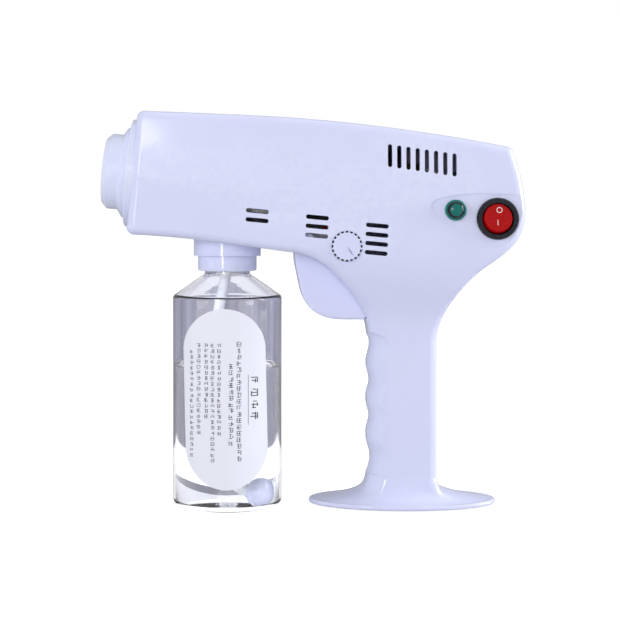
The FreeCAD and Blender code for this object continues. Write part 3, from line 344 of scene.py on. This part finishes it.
random.seed(7)
drops = bmesh.new()
for i in range(DROPLETS):
    angle = random.uniform(-math.pi, math.pi)
    height = random.choice([random.uniform(low, high) for low, high in DROPLET_BANDS])
    radius = random.uniform(*DROPLET_R)
    out = Vector((math.cos(angle), math.sin(angle), 0))
    spot = (Vector((BOTTLE_X, 0, height)) + out * BORE_R) * MM
    made = bmesh.ops.create_icosphere(drops, subdivisions=2, radius=radius * MM)
    for vert in made["verts"]:
        vert.co -= out * vert.co.dot(out) * DROPLET_FLATTENING
        vert.co += spot
piece("droplets", drops, water, "bottle", smooth=180)


# ---------------------------------------------------------------- label print, as plain bars

PRINT_GAP = 0.03
PRINT_R = BOTTLE_R + LABEL_THICK + PRINT_GAP
# across from the bottle axis, top, bottom, size and pitch of the signs
COLUMNS = [
    (15.3, 76.6, 49.1, 4.6, 6.6), (6.8, 95.3, 29.9, 2.9, 3.5), (2.4, 83.2, 38.7, 2.9, 3.5),
    (-4.2, 94.2, 43.1, 2.3, 3.0), (-7.8, 94.2, 28.8, 2.3, 3.0), (-11.3, 94.2, 50.8, 2.3, 3.0),
    (-15.5, 94.2, 42.6, 2.3, 3.0), (-19.4, 90.3, 31.6, 2.1, 3.0),
]
RULE = {"across": 11.9, "height": 62.8, "wide": 0.25, "high": 27.5}
BAR_SEGMENTS = 3
ROW_CHANCE = 0.85
# shares of a sign's size: places, largest shift, lengths and stroke of its bars
ROWS = (-0.38, 0.0, 0.38)
ROW_SHIFT, ROW_LENGTH, ROW_STROKE = 0.08, (0.45, 0.95), 0.11
UPRIGHTS = (-0.36, -0.12, 0.12, 0.36)
UPRIGHT_SHIFT, UPRIGHT_LENGTH, UPRIGHT_STROKE = 0.1, (0.4, 0.9), 0.132


def bar(shape, across, height, wide, high):
    """One printed bar, bent round the label."""
    edges = []
    for level in (height - high / 2, height + high / 2):
        stops = [across - wide / 2 + wide * i / BAR_SEGMENTS for i in range(BAR_SEGMENTS + 1)]
        edges.append([shape.verts.new(Vector((BOTTLE_X + stop, -math.sqrt(PRINT_R ** 2 - stop ** 2),
                                              level)) * MM) for stop in stops])
    lower, upper = edges
    for i in range(BAR_SEGMENTS):
        shape.faces.new((lower[i], lower[i + 1], upper[i + 1], upper[i]))


def sign(shape, across, height, size):
    """One unreadable sign: up to three bars that lie and two that stand."""
    for row in ROWS:
        if random.random() < ROW_CHANCE:
            shift = random.uniform(-ROW_SHIFT, ROW_SHIFT)
            length = random.uniform(*ROW_LENGTH)
            bar(shape, across + shift * size, height + row * size, length * size, ROW_STROKE * size)
    for upright in random.sample(UPRIGHTS, 2):
        shift = random.uniform(-UPRIGHT_SHIFT, UPRIGHT_SHIFT)
        length = random.uniform(*UPRIGHT_LENGTH)
        bar(shape, across + upright * size, height + shift * size, UPRIGHT_STROKE * size, length * size)


prints = bmesh.new()
for across, top, bottom, size, pitch in COLUMNS:
    height = top - pitch / 2
    while height > bottom:
        sign(prints, across, height, size)
        height -= pitch
bar(prints, **RULE)
piece("label_print", prints, printed("label_ink", colour(64, 66, 78), 0.5, 0.0006, 0.25), "bottle")


# ---------------------------------------------------------------- trigger return spring, drawn at its rest length

SPRING_FOOT = Vector((-29, 0, 154.4))
SPRING_TURNS, TURN_RISE = 5.25, 2.4
COIL_R, WIRE_R = 3.0, 0.45
STEPS_A_TURN, WIRE_SIDES = 24, 8

coil = bmesh.new()
before = None
for i in range(int(SPRING_TURNS * STEPS_A_TURN) + 1):
    angle = 2 * math.pi * i / STEPS_A_TURN
    out = Vector((math.cos(angle), math.sin(angle), 0))
    middle = SPRING_FOOT + out * COIL_R + Vector((0, 0, WIRE_R + TURN_RISE * i / STEPS_A_TURN))
    ring = []
    for j in range(WIRE_SIDES):
        turn = 2 * math.pi * j / WIRE_SIDES
        spot = middle + out * (WIRE_R * math.cos(turn)) + Vector((0, 0, WIRE_R * math.sin(turn)))
        ring.append(coil.verts.new(spot * MM))
    if before:
        for j in range(WIRE_SIDES):
            after = (j + 1) % WIRE_SIDES
            coil.faces.new((before[j], before[after], ring[after], ring[j]))
    else:
        coil.faces.new(ring[::-1])
    before = ring
coil.faces.new(before)
return_spring = piece("return_spring", coil, looks["steel_zinc"], "gun", 60)
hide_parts("trigger_spring")
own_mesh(return_spring)


# ---------------------------------------------------------------- rocker marks, O and I

ROCKER_LEAN = Euler((math.radians(-10), 0, 0)).to_matrix()
ROCKER_FACE = 3.63
O_MIDDLE, O_INNER_R, O_OUTER_R, O_STEPS = (0.7, 4.2), 1.2, 1.65, 40
I_LEFT, I_RIGHT, I_BOTTOM, I_TOP = -0.55, -0.15, -4.3, -1.2


def on_rocker(across, up, out):
    """Point in metres over the leaning face of the rocker."""
    return (PIVOTS["rocker_rock"] + ROCKER_LEAN @ Vector((across, -out, up))) * MM


marks = bmesh.new()
band(marks, on_rocker, (O_OUTER_R, ROCKER_FACE), (O_INNER_R, ROCKER_FACE), O_STEPS, O_MIDDLE)
corners = [(I_LEFT, I_BOTTOM), (I_RIGHT, I_BOTTOM), (I_RIGHT, I_TOP), (I_LEFT, I_TOP)]
patch(marks, on_rocker, corners, ROCKER_FACE)
piece("rocker_marks", marks, printed("rocker_marks", colour(236, 214, 214), 0.4, 0.0008, 0.1), "rocker")


# ---------------------------------------------------------------- dial: painted shade in the rim's notches as a dark ring and dark dashes, pointer

on_dial = near_side(PIVOTS["dial_turn"])
# dark colour that stands in for the shade deep in the rim's notches
notch_shade_look = moulded("dial_notch_shade", colour(24, 24, 34), 0.5, 0.00001)

# dark ring under the rim: painted shade, seen through the notches
SHADE_RING_INNER_R, SHADE_RING_OUTER_R, SHADE_RING_OUT, SHADE_RING_STEPS = 7.0, 8.36, 30.6, 96
shade_ring = bmesh.new()
band(shade_ring, on_dial, (SHADE_RING_INNER_R, SHADE_RING_OUT), (SHADE_RING_OUTER_R, SHADE_RING_OUT), SHADE_RING_STEPS)
piece("dial_notch_shade", joined(shade_ring), notch_shade_look, "dial")

# dark dashes over the notches: painted shade of their depth
NOTCH_SHADES, NOTCH_SHADE_OUT = 20, 31.36
# radius and half angle at the inner and at the outer end
NOTCH_SHADE_INNER, NOTCH_SHADE_OUTER = (7.5, 0.09), (8.38, 0.1)
notch_shades = bmesh.new()
for i in range(NOTCH_SHADES):
    middle = 2 * math.pi * i / NOTCH_SHADES
    corners = []
    for (radius, half), side in ((NOTCH_SHADE_INNER, -1), (NOTCH_SHADE_OUTER, -1), (NOTCH_SHADE_OUTER, 1), (NOTCH_SHADE_INNER, 1)):
        angle = middle + side * half
        corners.append((radius * math.cos(angle), radius * math.sin(angle)))
    patch(notch_shades, on_dial, corners, NOTCH_SHADE_OUT)
piece("dial_notch_shadows", notch_shades, notch_shade_look, "dial")

POINTER_ANGLE, POINTER_OUT = math.radians(-57), 31.33
# distance from the dial's middle and half width at each end
POINTER_TAIL, POINTER_TIP = (1.6, 0.16), (5.2, 0.22)
pointer = bmesh.new()
corners = []
for (along, half), side in ((POINTER_TAIL, -1), (POINTER_TIP, -1), (POINTER_TIP, 1), (POINTER_TAIL, 1)):
    corners.append((along * math.cos(POINTER_ANGLE) - side * half * math.sin(POINTER_ANGLE),
                    along * math.sin(POINTER_ANGLE) + side * half * math.cos(POINTER_ANGLE)))
patch(pointer, on_dial, corners, POINTER_OUT)
pointer_look = printed("dial_pointer", colour(150, 152, 178), 0.4, 0.0006, 0.2)
piece("dial_pointer", pointer, pointer_look, "dial")


# ---------------------------------------------------------------- lamp: teal rim, groove darkened with painted shade

dress("lamp_body", moulded("lamp_rim", colour(4, 118, 112), 0.15))

LAMP = Vector((25.6, 0, 167.1))
# (radius, out) of the lens's edge, the groove's shoulder and its foot
GROOVE_LINES = [(3.5, 35.14), (4.3, 34.5), (4.72, 33.7)]
GROOVE_STEPS = 64
groove = bmesh.new()
for inner, outer in zip(GROOVE_LINES, GROOVE_LINES[1:]):
    band(groove, near_side(LAMP), inner, outer, GROOVE_STEPS)
# the groove's dark colour is painted shade
piece("lamp_groove", joined(groove), moulded("groove_painted_shade", colour(10, 24, 30), 0.15), "gun")


# ---------------------------------------------------------------- floor, which the camera sees as white

FLOOR_HALF_SIZE, FLOOR_SQUARES, FLOOR_GLOW = 4.0, 24, 0.86

ground = Look("floor_white", (0.56, 0.56, 0.57, 1), 0.9).mottle(0.3, 0.004).bump(0.002, 0.00002)
ground.set(Specular_IOR_Level=0.0, Emission_Color=(1, 1, 1, 1),
           Emission_Strength=ground.spread(ground.seen_by_camera(), 0.0, FLOOR_GLOW, 0.0, 1.0))
sheet = bmesh.new()
bmesh.ops.create_grid(sheet, x_segments=FLOOR_SQUARES, y_segments=FLOOR_SQUARES, size=FLOOR_HALF_SIZE)
piece("floor", sheet, ground, None)


# ---------------------------------------------------------------- card, seen only through clear pieces

class CardLook(Nodes):
    """A card that glows: upright grey streaks, one grey low down, white to rays that climb."""

    STREAK = 1 / 70
    DARK, LIGHT = colour(122, 123, 140), colour(178, 179, 198)
    LOW_GREY, LOW_START, LOW_END = colour(122, 123, 136), 0.062, 0.052
    CLIMBING_WHITE = colour(244, 246, 253)

    def __init__(self):
        self.material = bpy.data.materials.new("backdrop_card")
        self.material.use_nodes = True
        super().__init__(self.material.node_tree)
        self.tree.nodes.clear()
        streaks = self.spread(self.noise(self.STREAK, 2.0, (1, 1, 0)), 0, 1, 0.35, 0.65)
        tones = self.mix(streaks, self.DARK, self.LIGHT)
        low = self.spread(self.height_of(self.place()), 0, 1, self.LOW_START, self.LOW_END)
        shaded = self.mix(low, tones, self.LOW_GREY)
        # a ray that climbs arrives from below, so the way back to its start points down
        towards_start = self.add("NewGeometry").outputs["Incoming"]
        climbing = self.maths("LESS_THAN", self.height_of(towards_start), 0.0)
        glow = self.add("Emission", {"Color": self.mix(climbing, shaded, self.CLIMBING_WHITE)})
        self.add("OutputMaterial", {"Surface": glow.outputs[0]})


CARD_TOP = 0.9
# ends of the back panel and of the two side panels, seen from above
CARD_LINES = [((-1.2, 0.17), (0.9, 0.17)), ((-0.3, -0.1), (-0.3, 0.17)), ((0.12, -0.1), (0.12, 0.17))]

panels = bmesh.new()
for (x0, y0), (x1, y1) in CARD_LINES:
    corners = [(x0, y0, 0.0), (x1, y1, 0.0), (x1, y1, CARD_TOP), (x0, y0, CARD_TOP)]
    panels.faces.new([panels.verts.new(corner) for corner in corners])
card_mesh = bpy.data.meshes.new("card")
panels.to_mesh(card_mesh)
panels.free()
card_mesh.materials.append(CardLook().material)
card = bpy.data.objects.new("card", card_mesh)
bpy.context.scene.collection.objects.link(card)
card.visible_camera = False
card.visible_diffuse = False
card.visible_glossy = False
card.visible_shadow = False


# ---------------------------------------------------------------- lights, world and camera

def softbox(name, at, aim, wide, high, watts, shiny=True):
    """Rectangular light; one that is not shiny is left out of reflections."""
    lamp = bpy.data.lights.new(name, "AREA")
    lamp.shape = "RECTANGLE"
    lamp.size = wide
    lamp.size_y = high
    lamp.energy = watts
    thing = bpy.data.objects.new(name, lamp)
    thing.location = at
    thing.rotation_euler = (Vector(aim) - Vector(at)).to_track_quat("-Z", "Y").to_euler()
    thing.visible_glossy = shiny
    bpy.context.scene.collection.objects.link(thing)


softbox("top_box", at=(0.05, 0.05, 1.5), aim=(0, 0, 0.1), wide=1.4, high=1.3, watts=3)
softbox("right_box", at=(1.4, -0.1, 0.5), aim=(0, 0, 0.1), wide=0.7, high=1.0, watts=19)
softbox("front_fill", at=(-0.2, -2.1, 0.1), aim=(-0.05, 0, 0.12), wide=2.6, high=1.6, watts=18,
        shiny=False)
softbox("left_fill", at=(-1.5, -0.9, 0.2), aim=(-0.08, 0, 0.12), wide=1.0, high=1.0, watts=11,
        shiny=False)
softbox("window", at=(-0.3, -2.0, 0.52), aim=(-0.14, 0, 0.2), wide=0.1, high=0.13, watts=0.3)
softbox("strip", at=(-0.72, -1.9, 0.12), aim=(-0.1, 0, 0.12), wide=0.2, high=1.3, watts=9)

WORLD_LIGHT, WORLD_AS_SEEN = 0.44, 1.02

world = bpy.data.worlds.new("studio")
bpy.context.scene.world = world
world.use_nodes = True
sky = Nodes(world.node_tree)
background = world.node_tree.nodes["Background"]
sky.feed(background.inputs["Color"], (1, 1, 1, 1))
sky.feed(background.inputs["Strength"],
         sky.spread(sky.seen_by_camera(), WORLD_LIGHT, WORLD_AS_SEEN, 0.0, 1.0))

bpy.context.scene.view_settings.view_transform = "Standard"

# level camera; the shifts put the part where the photo has it
eye = bpy.data.cameras.new("eye")
eye.lens = 74.32
eye.sensor_width = 36.0
eye.shift_x = 0.1057
eye.shift_y = -0.1419
eye.clip_start = 0.01
camera = bpy.data.objects.new("eye", eye)
camera.location = (-0.090, -0.7328, 0.160586)
camera.rotation_euler = (math.radians(90), 0, 0)
bpy.context.scene.collection.objects.link(camera)
bpy.context.scene.camera = camera
